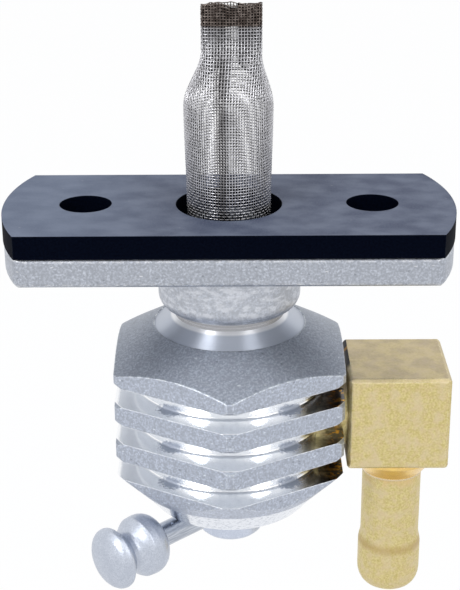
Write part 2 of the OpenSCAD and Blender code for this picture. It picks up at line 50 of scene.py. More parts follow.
# %% [markdown]
# ## The camera
# The camera was solved from the photograph's edges and circles: a short telephoto close to
# the tap, tilted down 22 degrees. Its field of view counts as much as its place, because
# the near corner of the hexagon is seen from steeper than the gasket is.

# %% Camera
CAMERA_AT = (0.000398, -0.168526, 0.057758)
PITCH, YAW, ROLL = (math.radians(a) for a in (-22.418, -0.112, -0.307))
FOCAL_PIXELS = 1499.45
PICTURE_HEIGHT = 590


def make_camera():
    forward = Vector((math.sin(YAW) * math.cos(PITCH), math.cos(YAW) * math.cos(PITCH), math.sin(PITCH)))
    right = forward.cross(Vector((0, 0, 1))).normalized()
    up = right.cross(forward)
    rolled_right = math.cos(ROLL) * right + math.sin(ROLL) * up
    rolled_up = -math.sin(ROLL) * right + math.cos(ROLL) * up
    data = bpy.data.cameras.new("camera")
    data.sensor_fit = "VERTICAL"
    data.sensor_height = 24
    data.lens = data.sensor_height * FOCAL_PIXELS / PICTURE_HEIGHT
    data.clip_start = 0.001
    data.clip_end = 20
    camera = bpy.data.objects.new("camera", data)
    turn = Matrix((rolled_right, rolled_up, -forward)).transposed().to_4x4()
    camera.matrix_world = Matrix.Translation(CAMERA_AT) @ turn
    bpy.context.scene.collection.objects.link(camera)
    bpy.context.scene.camera = camera
    return camera


camera = make_camera()
bpy.context.scene.view_settings.view_transform = "Standard"
print("lens %.1f mm on a 24 mm high sensor" % camera.data.lens)

# %% [markdown]
# ## A small kit for node materials
# Every finish below is a node tree. `Tree` adds nodes and links them by socket name, so that
# a finish reads as a list of its layers: shape masks, mottling, speckle, wear and relief.


# %% Node helpers
class Tree:
    """Builds the node tree of one material."""

    def __init__(self, name, tint=(0.8, 0.8, 0.8)):
        self.material = bpy.data.materials.new(name)
        self.material.use_nodes = True
        self.material.diffuse_color = (*tint, 1)
        self.nodes = self.material.node_tree.nodes
        self.links = self.material.node_tree.links
        self.shader = self.nodes["Principled BSDF"]
        self.place = self.add("ShaderNodeNewGeometry").outputs["Position"]
        self.normal = self.add("ShaderNodeNewGeometry").outputs["Normal"]

    def add(self, kind, settings=None, **inputs):
        node = self.nodes.new(kind)
        for key, value in (settings or {}).items():
            setattr(node, key, value)
        for key, value in inputs.items():
            self.plug(value, node.inputs[key.replace("_", " ")])
        return node

    def plug(self, value, socket):
        if isinstance(value, bpy.types.NodeSocket):
            self.links.new(value, socket)
        elif value is not None:
            socket.default_value = value

    def math(self, operation, a, b=None, c=None, clamp=False):
        node = self.add("ShaderNodeMath", {"operation": operation, "use_clamp": clamp})
        for value, socket in zip((a, b, c), node.inputs):
            self.plug(value, socket)
        return node.outputs[0]

    def vector(self, operation, a, b=None, scale=None):
        node = self.add("ShaderNodeVectorMath", {"operation": operation})
        self.plug(a, node.inputs[0])
        self.plug(b, node.inputs[1])
        self.plug(scale, node.inputs[3])
        return node.outputs["Value" if operation in ("LENGTH", "DOT_PRODUCT", "DISTANCE") else "Vector"]

    def ramp(self, value, low, high, to_low=0.0, to_high=1.0):
        """Maps low..high of a value to to_low..to_high, smoothly and clamped."""
        node = self.add("ShaderNodeMapRange", {"interpolation_type": "SMOOTHSTEP"})
        for key, item in (("Value", value), ("From Min", low), ("From Max", high),
                          ("To Min", to_low), ("To Max", to_high)):
            self.plug(item, node.inputs[key])
        return node.outputs["Result"]

    def noise(self, size_mm, detail=2.0, vector=None, stretch=None, offset=(0, 0, 0)):
        """Noise whose blotches are about size_mm across."""
        scale = stretch or (1, 1, 1)
        mapped = self.add("ShaderNodeMapping", Vector=vector or self.place,
                          Scale=tuple(s / (size_mm * MM) for s in scale), Location=offset)
        node = self.add("ShaderNodeTexNoise", Vector=mapped.outputs[0], Scale=1.0, Detail=detail)
        return node.outputs["Fac"]

    def specks(self, size_mm, share, offset=(0, 0, 0), stretch=(1, 1, 1)):
        """Small round specks: one for each cell of size_mm, of which a share is kept."""
        mapped = self.add("ShaderNodeMapping", Vector=self.place, Location=offset,
                          Scale=tuple(s / (size_mm * MM) for s in stretch))
        cell = self.add("ShaderNodeTexVoronoi", Vector=mapped.outputs[0], Scale=1.0)
        near = self.ramp(cell.outputs["Distance"], 0.12, 0.28, 1.0, 0.0)
        pick = self.add("ShaderNodeSeparateColor", Color=cell.outputs["Color"])
        return self.math("MULTIPLY", near, self.math("LESS_THAN", pick.outputs[0], share))

    def colour(self, factor, a, b, blend="MIX"):
        node = self.add("ShaderNodeMix", {"data_type": "RGBA", "blend_type": blend})
        self.plug(factor, node.inputs[0])
        for value, socket in ((a, node.inputs[6]), (b, node.inputs[7])):
            self.plug((*value, 1.0) if isinstance(value, tuple) else value, socket)
        return node.outputs[2]

    def split(self, vector=None):
        node = self.add("ShaderNodeSeparateXYZ", Vector=vector or self.place)
        return node.outputs[0], node.outputs[1], node.outputs[2]

    def axis_distance(self, x0=0.0):
        """Distance from the vertical axis through x = x0, in metres."""
        x, y, _ = self.split()
        if x0:
            x = self.math("SUBTRACT", x, x0)
        return self.math("SQRT", self.math("ADD", self.math("MULTIPLY", x, x), self.math("MULTIPLY", y, y)))

    def rounded(self, radius_mm, samples=6, face=None):
        """Normal of a softly broken edge, and how far it differs from the true face.

        Away from its edges a face keeps the normal given as face, or else its own."""
        soft = self.add("ShaderNodeBevel", {"samples": samples}, Radius=radius_mm * MM).outputs[0]
        apart = self.math("SUBTRACT", 1.0, self.vector("DOT_PRODUCT", soft, self.normal))
        if face is None:
            return soft, apart
        return self.between(self.ramp(apart, 0.002, 0.03), face, soft), apart

    def between(self, factor, a, b):
        """Unit vector between two vectors."""
        node = self.add("ShaderNodeMix", {"data_type": "VECTOR"})
        for value, socket in ((factor, node.inputs[0]), (a, node.inputs[4]), (b, node.inputs[5])):
            self.plug(value, socket)
        return self.vector("NORMALIZE", node.outputs[1])

    def spun(self, flat_mm=None):
        """Exact normal of a face turned about the vertical axis, in place of its small facets.

        Faces whose plane lies flat_mm from the axis, such as a hexagon's flats, keep their own."""
        true = self.add("ShaderNodeNewGeometry").outputs["True Normal"]
        nx, ny, nz = self.split(true)
        x, y, _ = self.split()
        outward = self.vector("NORMALIZE", self.add("ShaderNodeCombineXYZ", X=x, Y=y, Z=0.0).outputs[0])
        facing = self.math("SIGN", self.vector("DOT_PRODUCT", outward, true))
        level = self.math("SQRT", self.math("MAXIMUM", self.math("SUBTRACT", 1.0, self.math("MULTIPLY", nz, nz)), 0.0))
        flat_part = self.vector("SCALE", outward, scale=self.math("MULTIPLY", facing, level))
        turned = self.vector("ADD", flat_part, self.add("ShaderNodeCombineXYZ", X=0.0, Y=0.0, Z=nz).outputs[0])
        if flat_mm is None:
            return self.vector("NORMALIZE", turned)
        reach = self.math("ADD", self.math("MULTIPLY", nx, x), self.math("MULTIPLY", ny, y))
        off = self.math("ABSOLUTE", self.math("SUBTRACT", reach, flat_mm * MM))
        upright = self.math("LESS_THAN", self.math("ABSOLUTE", nz), 0.1)
        is_flat = self.math("MULTIPLY", upright, self.math("LESS_THAN", off, 0.00004))
        return self.between(is_flat, turned, true)

    def finish(self, **inputs):
        for key, value in inputs.items():
            name = key.replace("_", " ")
            if isinstance(value, tuple) and len(value) == 3:
                value = (*value, 1.0)
            self.plug(value, self.shader.inputs[name])
        return self.material


def dress(node, material):
    """Gives a CAD node one finish in all its slots."""
    mesh = nodes[node].data
    mesh.materials.clear()
    mesh.materials.append(material)


print("helpers ready")

# %% [markdown]
# ## Tumbled aluminium
# The plate and the body are tumbled in a barrel with ceramic chips. That leaves a fine
# frosted grain, small bright nicks where a chip hit square, and edges rubbed brighter than
# the faces. The grain is noise at two sizes, the nicks are sparse cells, and the wear comes
# from where a rounded normal leaves the face's own.


# %% Tumbled and turned metal
def tumbled(tree, dark, light, grain_mm=0.2, edge_mm=0.3, face=None):
    """Colour, roughness and normal of a tumbled face."""
    fine = tree.noise(grain_mm, 5.0)
    broad = tree.noise(0.9, 4.0, offset=(3, 1, 7))
    nicks = tree.specks(0.5, 0.06, stretch=(0.5, 0.8, 1.9))
    pits = tree.specks(0.6, 0.10, offset=(5, 8, 2), stretch=(0.8, 0.8, 1.2))
    soft, apart = tree.rounded(edge_mm, face=face)
    torn = tree.ramp(tree.noise(0.55, 4.0, offset=(1, 6, 2)), 0.40, 0.60)
    wear = tree.math("MULTIPLY", tree.ramp(apart, 0.01, 0.10), torn)
    base = tree.colour(tree.ramp(fine, 0.34, 0.66), dark, light)
    mild = tuple(0.5 * (a + b) for a, b in zip(dark, light))
    base = tree.colour(tree.ramp(broad, 0.35, 0.65, 0.0, 0.6), base, tuple(0.9 * c for c in mild))
    coarse = tree.ramp(tree.noise(0.30, 2.0, offset=(6, 2, 5)), 0.40, 0.62, 0.0, 0.7)
    base = tree.colour(coarse, base, tuple(0.60 * c for c in mild))
    base = tree.colour(0.17, base, (0.78, 0.80, 0.84))
    base = tree.colour(tree.math("MULTIPLY", pits, 0.45), base, tuple(0.45 * c for c in dark))
    bright = tree.math("MAXIMUM", tree.math("MULTIPLY", wear, 0.7), tree.math("MULTIPLY", nicks, 0.5))
    base = tree.colour(bright, base, tuple(min(1.0, 1.9 * c) for c in light))
    rough = tree.ramp(bright, 0.0, 1.0, 0.50, 0.30)
    relief = tree.add("ShaderNodeBump", Strength=0.22, Distance=0.00006, Height=fine, Normal=soft)
    return base, rough, relief.outputs[0]


def turned_normal(tree, normal, amount, along, line_mm=0.05):
    """Tilts a normal along the lathe's feed by fine rings, which spreads highlights as turning does.

    Gives the new normal, the rings and the direction of the feed."""
    rings = tree.add("ShaderNodeTexNoise", {"noise_dimensions": "1D"},
                     W=tree.math("MULTIPLY", along, 1.0 / (line_mm * MM)), Scale=1.0, Detail=1.0).outputs["Fac"]
    x, y, _ = tree.split()
    round_dir = tree.vector("NORMALIZE", tree.add(
        "ShaderNodeCombineXYZ", X=tree.math("MULTIPLY", y, -1.0), Y=x, Z=0.0).outputs[0])
    feed = tree.vector("CROSS_PRODUCT", round_dir, normal)
    tilt = tree.math("MULTIPLY", tree.math("SUBTRACT", rings, 0.5), amount)
    shifted = tree.vector("ADD", normal, tree.vector("SCALE", feed, scale=tilt))
    return tree.vector("NORMALIZE", shifted), rings, feed


def band(tree, value, low, high, edge=0.00003):
    """1 inside low..high of a value in metres, with a thin soft edge."""
    up = tree.ramp(value, low - edge, low + edge)
    down = tree.ramp(value, high - edge, high + edge, 1.0, 0.0)
    return tree.math("MULTIPLY", up, down)


GROOVE_TOPS = (-20.3, -25.2, -30.1)
GROOVE_H, ROOT_R = 2.4, 11.7


def painted_reflection_spots(tree, r, z):
    """Mask of two ragged spots in each groove's root corner, 36 degrees either side of the front, where dark
    reflections are painted and the polish is dulled.
    """
    x, y, _ = tree.split()
    side = tree.math("DIVIDE", tree.math("ABSOLUTE", x), r)
    front = tree.math("LESS_THAN", y, 0.0)
    across = tree.math("MULTIPLY", tree.math("SUBTRACT", side, 0.60), 6.4)
    outward = tree.math("MULTIPLY", tree.math("SUBTRACT", r, ROOT_R * MM), 1000 / 2.1)
    spots = None
    for top in GROOVE_TOPS:
        up = tree.math("MULTIPLY", tree.math("SUBTRACT", z, (top - GROOVE_H) * MM), 1000 / 0.9)
        size = tree.vector("LENGTH", tree.add("ShaderNodeCombineXYZ", X=across, Y=outward, Z=up).outputs[0])
        spots = size if spots is None else tree.math("MINIMUM", spots, size)
    ragged = tree.math("ADD", spots, tree.math("MULTIPLY", tree.noise(0.35, 2.0, offset=(4, 4, 4)), 1.1))
    return tree.math("MULTIPLY", front, tree.ramp(ragged, 1.05, 1.35, 1.0, 0.0))


def body_metal():
    """Tumbled outside, with the grooves, the ring round the collar and the skirt left as turned."""
    tree = Tree("body_metal", (0.7, 0.72, 0.75))
    spun = tree.spun(flat_mm=13.825)
    base, rough, normal = tumbled(tree, (0.275, 0.307, 0.368), (0.50, 0.547, 0.635), face=spun)
    _, _, z = tree.split()
    nz = tree.split(spun)[2]
    # Painted light and shade: faces turned down are painted lighter, faces turned up darker
    painted_slope_light = tree.colour(tree.ramp(nz, -0.4, 0.6), (1.30, 1.30, 1.33), (0.85, 0.86, 0.88))
    base = tree.colour(1.0, base, painted_slope_light, blend="MULTIPLY")
    r = tree.axis_distance()
    grooves = None
    for top in GROOVE_TOPS:
        one = band(tree, z, (top - GROOVE_H) * MM - 0.00004, top * MM + 0.00004)
        grooves = one if grooves is None else tree.math("MAXIMUM", grooves, one)
    grooves = tree.math("MULTIPLY", grooves, tree.ramp(r, 0.01555, 0.01572, 1.0, 0.0))
    under = tree.math("MULTIPLY", grooves, tree.math("LESS_THAN", nz, -0.5))
    flare = tree.math("MULTIPLY", band(tree, r, 0.0066, 0.0092), tree.math("GREATER_THAN", z, -0.0158))
    collar = tree.math("MULTIPLY", flare, tree.math("LESS_THAN", nz, 0.3))
    skirt = tree.math("LESS_THAN", z, -0.03572)
    turned = tree.math("MAXIMUM", grooves, tree.math("MAXIMUM", flare, skirt))
    feed = tree.math("ADD", r, z)
    x, y, _ = tree.split()
    outward = tree.vector("NORMALIZE", tree.add("ShaderNodeCombineXYZ", X=x, Y=y, Z=0.0).outputs[0])
    hollow = tree.vector("SCALE", outward, scale=tree.math("MULTIPLY", tree.math("SUBTRACT", flare, collar), 0.27))
    leaning = tree.vector("NORMALIZE", tree.vector("ADD", spun, hollow))
    ringed, rings, across = turned_normal(tree, leaning, 0.10, feed)
    polish = tree.colour(tree.ramp(rings, 0.3, 0.7), (0.74, 0.77, 0.82), (0.90, 0.92, 0.95))
    smear = tree.noise(0.8, 2.0, offset=(9, 2, 4))
    polish = tree.colour(tree.ramp(smear, 0.45, 0.75, 0.0, 0.35), polish, (0.58, 0.62, 0.69))
    polish = tree.colour(flare, polish, (0.50, 0.54, 0.62))
    polish = tree.colour(tree.math("MULTIPLY", flare, tree.ramp(r, 0.0073, 0.0070)), polish, (0.86, 0.87, 0.90))
    marks = tree.math("MULTIPLY", skirt, tree.ramp(tree.noise(0.5, 3.0, stretch=(1, 1, 2)), 0.52, 0.62))
    polish = tree.colour(skirt, polish, (0.78, 0.81, 0.87))
    polish = tree.colour(tree.math("MULTIPLY", marks, 0.6), polish, (0.46, 0.50, 0.58))
    polish = tree.colour(collar, polish, tree.colour(tree.ramp(rings, 0.35, 0.6), (0.20, 0.20, 0.21), (0.60, 0.60, 0.62)))
    polish = tree.colour(under, polish, (0.78, 0.81, 0.86))
    ledge = tree.math("MULTIPLY", grooves, tree.math("GREATER_THAN", nz, 0.5))
    polish = tree.colour(ledge, polish, (0.95, 0.96, 0.98))
    # Painted reflection in the grooves' ends beside the elbow: dark, as the elbow's shaded side mirrored, with a few
    # painted orange glints
    ragged = tree.math("ADD", x, tree.math("MULTIPLY", tree.math("SUBTRACT", smear, 0.5), 0.003))
    painted_dark_mask = tree.math("MULTIPLY", tree.math("MULTIPLY", grooves, tree.ramp(ragged, 0.0098, 0.0128)),
                      tree.math("LESS_THAN", tree.math("ABSOLUTE", y), 0.0095))
    painted_glint = tree.ramp(tree.noise(0.7, 3.0, offset=(2, 8, 6)), 0.52, 0.60)
    painted_glint = tree.math("MULTIPLY", painted_glint, tree.ramp(x, 0.0112, 0.0124))
    painted_dark_reflection = tree.colour(painted_glint, (0.095, 0.088, 0.092), (0.62, 0.34, 0.05))
    # Painted reflection: grey spots in the grooves' root corners, which are also made rougher below
    spots = painted_reflection_spots(tree, r, z)
    polish = tree.colour(spots, polish, (0.50, 0.54, 0.62))
    polish = tree.colour(painted_dark_mask, polish, painted_dark_reflection)
    dull = tree.math("MAXIMUM", tree.math("MULTIPLY", under, 0.6), tree.math("MAXIMUM", spots, tree.math("MULTIPLY", collar, 0.5)))
    smooth_rough = tree.ramp(dull, 0.0, 1.0, 0.15, 0.62)
    streaky = tree.math("SUBTRACT", flare, collar)
    smooth_rough = tree.ramp(streaky, 0.0, 1.0, smooth_rough, 0.40)
    return tree.finish(
        Anisotropic=tree.math("MULTIPLY", streaky, 0.92),
        Tangent=across,
        Base_Color=tree.colour(turned, base, polish),
        Metallic=1.0,
        Roughness=tree.ramp(turned, 0.0, 1.0, rough, smooth_rough),
        Normal=tree.between(turned, normal, ringed))


def flange_metal():
    tree = Tree("flange_metal", (0.78, 0.79, 0.81))
    base, rough, normal = tumbled(tree, (0.30, 0.325, 0.385), (0.56, 0.60, 0.68), edge_mm=0.5)
    z = tree.split()[2]
    # The boss is left as cast and bead-blasted: paler, with streaky white patches
    boss = tree.math("LESS_THAN", z, -0.00635)
    patch = tree.ramp(tree.noise(0.7, 6.0, stretch=(0.6, 0.6, 1.3), offset=(7, 3, 3)), 0.38, 0.70)
    base = tree.colour(tree.math("MULTIPLY", boss, tree.ramp(patch, 0.0, 1.0, 0.20, 0.70)), base, (0.76, 0.78, 0.83))
    # Its foot is turned, with darker lines
    foot = tree.math("LESS_THAN", z, -0.0119)
    lines = tree.ramp(tree.noise(0.16, 1.0, stretch=(0.02, 0.02, 1.0)), 0.42, 0.58)
    base = tree.colour(tree.math("MULTIPLY", foot, tree.math("MULTIPLY", lines, 0.6)), base, (0.22, 0.23, 0.25))
    return tree.finish(Base_Color=base, Metallic=1.0, Roughness=rough, Normal=normal)


dress("valve_body", body_metal())
dress("flange_plate", flange_metal())
print("tumbled metal on the body and the flange")

# %% [markdown]
# ## The lever
# The rod is drawn bar, polished by handling, so it mirrors its surroundings in long lines.
# The knob is turned and left satin. The spool's stem is fine turned and looks paler.


# %% Lever, knob and spool
def lever_steel():
    tree = Tree("lever_steel", (0.62, 0.63, 0.65))
    streak = tree.noise(0.5, 2.0, stretch=(0.2, 0.2, 3.0))
    base = tree.colour(tree.ramp(streak, 0.3, 0.7), (0.36, 0.39, 0.45), (0.55, 0.59, 0.66))
    return tree.finish(Base_Color=base, Metallic=1.0, Roughness=tree.ramp(streak, 0.3, 0.7, 0.16, 0.26))


def satin(name, dark, light, rough):
    tree = Tree(name, light)
    fine = tree.noise(0.16, 3.0)
    broad = tree.noise(1.2, 2.0, offset=(4, 4, 1))
    soft, apart = tree.rounded(0.25)
    base = tree.colour(tree.ramp(fine, 0.3, 0.7), dark, light)
    base = tree.colour(tree.ramp(broad, 0.35, 0.7, 0.0, 0.4), base, dark)
    base = tree.colour(tree.ramp(apart, 0.01, 0.2, 0.0, 0.5), base, (0.95, 0.96, 0.98))
    relief = tree.add("ShaderNodeBump", Strength=0.2, Distance=0.00003, Height=fine, Normal=soft)
    return tree.finish(Base_Color=base, Metallic=1.0, Roughness=tree.ramp(fine, 0.3, 0.7, rough, rough + 0.08),
                       Normal=relief.outputs[0])


dress("lever_rod", lever_steel())
dress("stop_pin", lever_steel())
dress("lever_knob", satin("knob_metal", (0.47, 0.51, 0.59), (0.63, 0.67, 0.755), 0.36))
dress("valve_spool", satin("spool_metal", (0.55, 0.60, 0.71), (0.70, 0.75, 0.86), 0.38))
print("lever, knob and spool dressed")

# %% [markdown]
# ## Brass
# The elbow's block is cut from square bar and tumbled, so it is a dull yellow-olive; its
# upward faces are painted darker, in pinkish-grey patches, as painted shade. The tail is
# turned: its collar under the block keeps a brighter, more orange ring, and the step at the
# barb has a painted shade, a dark band.


# %% Brass elbow and tail
def brass(name, tail):
    tree = Tree(name, (0.76, 0.66, 0.36))
    _, _, z = tree.split()
    fine = tree.noise(0.25, 3.0)
    broad = tree.noise(1.4, 2.0, offset=(2, 6, 3))
    soft, apart = tree.rounded(0.35)
    base = tree.colour(tree.ramp(fine, 0.28, 0.72), (0.56, 0.465, 0.185), (0.74, 0.64, 0.315))
    base = tree.colour(tree.ramp(broad, 0.4, 0.72, 0.0, 0.6), base, (0.70, 0.59, 0.40))
    warm = tree.ramp(tree.noise(0.55, 4.0, offset=(8, 3, 5)), 0.44, 0.62, 0.0, 0.35)
    base = tree.colour(warm, base, (0.72, 0.565, 0.36))
    # Painted shade: upward faces are painted darker and greyer, in pinkish-grey patches
    up = tree.split(tree.normal)[2]
    patches = tree.noise(2.6, 3.0, offset=(1, 5, 9))
    base = tree.colour(tree.ramp(up, 0.4, 0.9, 0.0, 0.6), base,
                       tree.colour(tree.ramp(patches, 0.38, 0.62), (0.38, 0.315, 0.26), (0.53, 0.445, 0.30)))
    wear = tree.math("MULTIPLY", tree.ramp(apart, 0.01, 0.14), tree.ramp(tree.noise(0.9), 0.35, 0.6))
    base = tree.colour(tree.math("MULTIPLY", wear, 0.85), base, (0.97, 0.90, 0.62))
    rough = 0.44
    if tail:
        cone = tree.ramp(z, -0.03545, -0.0353)
        below = tree.math("MULTIPLY", tree.ramp(z, -0.0372, -0.0356), tree.ramp(broad, 0.35, 0.6))
        step = band(tree, z, -0.0462, -0.0452, 0.0005)
        lip = band(tree, z, -0.0356, -0.03530, 0.00005)
        base = tree.colour(cone, base, (0.88, 0.62, 0.20))
        base = tree.colour(tree.math("MULTIPLY", below, 0.5), base, (0.74, 0.50, 0.20))
        # Painted shade: a dark band at the barb's step
        base = tree.colour(tree.math("MULTIPLY", step, 0.5), base, (0.42, 0.28, 0.10))
        base = tree.colour(lip, base, (0.80, 0.66, 0.44))
        rough = tree.ramp(tree.math("MAXIMUM", cone, lip), 0.0, 1.0, 0.44, 0.26)
    else:
        # Painted shade: the side by the hexagon, in the narrow gap, is painted nearly black with a few painted orange
        # glints, and the grooves mirror it
        inner = tree.math("MULTIPLY", tree.math("LESS_THAN", tree.split(tree.normal)[0], -0.7),
                          tree.ramp(tree.split()[1], -0.0026, -0.0010))
        painted_gap_shade = tree.colour(tree.ramp(patches, 0.56, 0.66), (0.020, 0.019, 0.020), (0.36, 0.19, 0.03))
        base = tree.colour(inner, base, painted_gap_shade)
    relief = tree.add("ShaderNodeBump", Strength=0.3, Distance=0.00005, Height=fine, Normal=soft)
    return tree.finish(Base_Color=base, Metallic=1.0, Roughness=rough, Normal=relief.outputs[0])


dress("elbow_block", brass("elbow_brass", False))
dress("hose_tail", brass("tail_brass", True))
print("brass dressed")

# %% [markdown]
# ## Rubber gasket
# Black rubber, cut from sheet. Its top has lain on a bench and holds pale dust in soft
# blotches, while the cut sides are clean and nearly black.


# %% Rubber and plastic
def gasket_rubber():
    tree = Tree("gasket_rubber", (0.09, 0.1, 0.13))
    up = tree.split(tree.normal)[2]
    top = tree.ramp(up, 0.5, 0.9)
    dust = tree.noise(3.2, 4.0, stretch=(0.7, 1.0, 1.0))
    fine = tree.noise(0.22, 3.0)
    specks = tree.specks(0.7, 0.02)
    soft, apart = tree.rounded(0.15)
    side = tree.colour(tree.ramp(fine, 0.3, 0.7), (0.0001, 0.0006, 0.0035), (0.0008, 0.0020, 0.0070))
    dusty = tree.colour(tree.ramp(dust, 0.3, 0.72), (0.050, 0.063, 0.108), (0.112, 0.133, 0.190))
    dusty = tree.colour(tree.ramp(fine, 0.35, 0.75, 0.0, 0.3), dusty, (0.140, 0.158, 0.212))
    dusty = tree.colour(tree.ramp(tree.split()[0], -0.003, -0.022, 0.0, 0.4), dusty, (0.155, 0.195, 0.275))
    dusty = tree.colour(tree.math("MULTIPLY", specks, 0.4), dusty, (0.22, 0.24, 0.28))
    base = tree.colour(top, side, dusty)
    base = tree.colour(tree.ramp(apart, 0.02, 0.2, 0.0, 0.30), base, (0.05, 0.06, 0.08))
    relief = tree.add("ShaderNodeBump", Strength=0.3, Distance=0.00005, Height=fine, Normal=soft)
    return tree.finish(Base_Color=base, Roughness=0.66, Specular_IOR_Level=tree.ramp(top, 0.0, 1.0, 0.02, 0.20),
                       Normal=relief.outputs[0])


def plain(name, dark, light, rough, metallic=0.0):
    """A simple mottled finish for pieces inside the valve."""
    tree = Tree(name, light)
    fine = tree.noise(0.3, 2.0)
    relief = tree.add("ShaderNodeBump", Strength=0.2, Distance=0.00003, Height=fine)
    return tree.finish(Base_Color=tree.colour(tree.ramp(fine, 0.3, 0.7), dark, light),
                       Metallic=metallic, Roughness=rough, Normal=relief.outputs[0])


dress("flange_gasket", gasket_rubber())
dress("neck_seal", plain("seal_fibre", (0.30, 0.13, 0.06), (0.42, 0.2, 0.1), 0.7))
dress("spool_ring_upper", plain("ring_rubber", (0.01, 0.01, 0.012), (0.02, 0.02, 0.022), 0.45))
dress("spool_ring_lower", nodes["spool_ring_upper"].data.materials[0])
dress("port_seat", plain("seat_plastic", (0.75, 0.74, 0.7), (0.85, 0.84, 0.8), 0.5))
dress("thrust_washer", nodes["port_seat"].data.materials[0])
dress("retaining_ring", plain("spring_steel", (0.10, 0.11, 0.12), (0.2, 0.21, 0.22), 0.4, 1.0))
print("rubber and plastic dressed")

# %% [markdown]
# ## The woven sock
# A strip of plain-weave wire cloth is rolled into a tube, lapped down its front, slid over
# the spigot and crimped flat at the top. The cloth can't shrink, so above the belly its
# spare width tucks inwards at both sides, as in a paper bag. Each wire passes over and under
# the crossing ones. The wires up the sock and the wires round it are one piece each.

# %% Shape of the sock
PITCH_MM = 0.345
WIRE_MM = 0.062
WAVE_MM = 0.05
FOOT_Z, BELLY_Z, SHOULDER_Z, CRIMP_Z, TOP_Z = -6.9, 12.0, 18.1, 21.1, 23.8
FOOT_R, BELLY_R = 4.88, 5.13
CRIMP_W, CRIMP_T, LEAN = 3.42, 0.62, 0.4


def smooth(t):
    t = np.clip(t, 0.0, 1.0)
    return t * t * (3 - 2 * t)


def section(z):
    """Half width, half depth, squareness and lean of the sock at height z, in mm."""
    swell = FOOT_R + (BELLY_R - FOOT_R) * smooth(z / BELLY_Z)
    width = swell + (CRIMP_W - swell) * smooth((z - BELLY_Z) / (SHOULDER_Z - BELLY_Z))
    pinch = smooth((z - BELLY_Z) / (CRIMP_Z - BELLY_Z))
    depth = swell + (CRIMP_T - swell) * pinch
    return width, depth, 2 + 2 * pinch, LEAN * smooth((z - BELLY_Z) / (19.1 - BELLY_Z))


def quarter(z, girth):
    """A quarter of the sock's plan, from the front's middle round to the tip of the side tuck."""
    width, depth, power, lean = section(z)
    t = np.linspace(-math.pi / 2, 0, 160)
    x = width * np.abs(np.cos(t)) ** (2 / power)
    y = -depth * np.abs(np.sin(t)) ** (2 / power)
    length = np.concatenate([[0], np.cumsum(np.hypot(np.diff(x), np.diff(y)))])
    spare = girth - length[-1]
    if spare > 0.15:
        reach = min(spare, 0.8 * width)
        k = np.linspace(0, 1, 60)[1:]
        x = np.concatenate([x, width - reach * k])
        y = np.concatenate([y, -0.22 * depth * np.sin(math.pi * k) * np.ones_like(k)])
        length = np.concatenate([length, length[-1] + spare * k])
    return x, y, length, lean


GIRTH = math.pi * BELLY_R / 2


def sock_row(z, turns):
    """Points at height z for places round the sock, given as shares of its girth from the front's middle."""
    belly = z < BELLY_Z
    width, depth, _, _ = section(z)
    girth = math.pi * width / 2 if belly else GIRTH
    x, y, length, lean = quarter(z, girth)
    length = length * (girth / length[-1])
    s = (turns % 1.0) * 4
    quarter_no = np.floor(s).astype(int) % 4
    local = s - np.floor(s)
    local = np.where(quarter_no % 2 == 1, 1 - local, local) * girth
    px = np.interp(local, length, x)
    py = np.interp(local, length, y)
    px = np.where(quarter_no >= 2, -px, px)
    py = np.where((quarter_no == 1) | (quarter_no == 2), -py, py)
    return px + lean, py


def fray(turns):
    """How far the torn top edge dips at each place, in mm."""
    a = turns * 2 * math.pi
    return 0.16 + 0.13 * np.sin(7 * a + 0.6) + 0.08 * np.sin(17 * a + 2.0)


def cloth(turns, heights, inset=0.0):
    """Grid of points and outward normals of the cloth: one row for each height."""
    spots, outs = [], []
    step = 0.002
    for z in heights:
        x, y = sock_row(z, turns)
        xa, ya = sock_row(z, turns - step)
        xb, yb = sock_row(z, turns + step)
        tx, ty = xb - xa, yb - ya
        size = np.maximum(np.hypot(tx, ty), 1e-6)
        nx, ny = ty / size, -tx / size
        drop = fray(turns) * smooth((z - 21.5) / (TOP_Z - 21.5))
        spots.append(np.stack([x - inset * nx, y - inset * ny, z - drop], axis=1))
        outs.append(np.stack([nx, ny, np.zeros_like(nx)], axis=1))
    return np.array(spots), np.array(outs)


columns = 2 * round(2 * math.pi * BELLY_R / PITCH_MM / 2)
rows = round((TOP_Z - FOOT_Z) / PITCH_MM)
print("weave: %d wires up, %d rounds" % (columns, rows))


# %% Wires as meshes
def tubes(name, lines, normals, radius_mm, closed, sides=5):
    """One mesh of thin tubes that follow lines[wire, point] with the given outward normals."""
    count, points = lines.shape[:2]
    if closed:
        along = np.roll(lines, -1, axis=1) - np.roll(lines, 1, axis=1)
    else:
        along = np.gradient(lines, axis=1)
    along /= np.maximum(np.linalg.norm(along, axis=2, keepdims=True), 1e-9)
    side = np.cross(along, normals)
    side /= np.maximum(np.linalg.norm(side, axis=2, keepdims=True), 1e-9)
    turns = np.arange(sides) * 2 * math.pi / sides
    ring = (normals[:, :, None] * np.cos(turns)[None, None, :, None]
            + side[:, :, None] * np.sin(turns)[None, None, :, None]) * radius_mm
    verts = ((lines[:, :, None] + ring) * MM).reshape(-1, 3)
    w, p, k = np.meshgrid(np.arange(count), np.arange(points if closed else points - 1),
                          np.arange(sides), indexing="ij")
    q, m = (p + 1) % points, (k + 1) % sides

    def at(pp, kk):
        return (w * points + pp) * sides + kk

    faces = np.stack([at(p, k), at(p, m), at(q, m), at(q, k)], axis=-1).reshape(-1, 4)
    mesh = bpy.data.meshes.new(name)
    mesh.from_pydata(verts.tolist(), [], faces.tolist())
    mesh.polygons.foreach_set("use_smooth", np.ones(len(mesh.polygons), dtype=bool))
    mesh.update()
    piece = bpy.data.objects.new(name, mesh)
    bpy.context.scene.collection.objects.link(piece)
    return piece


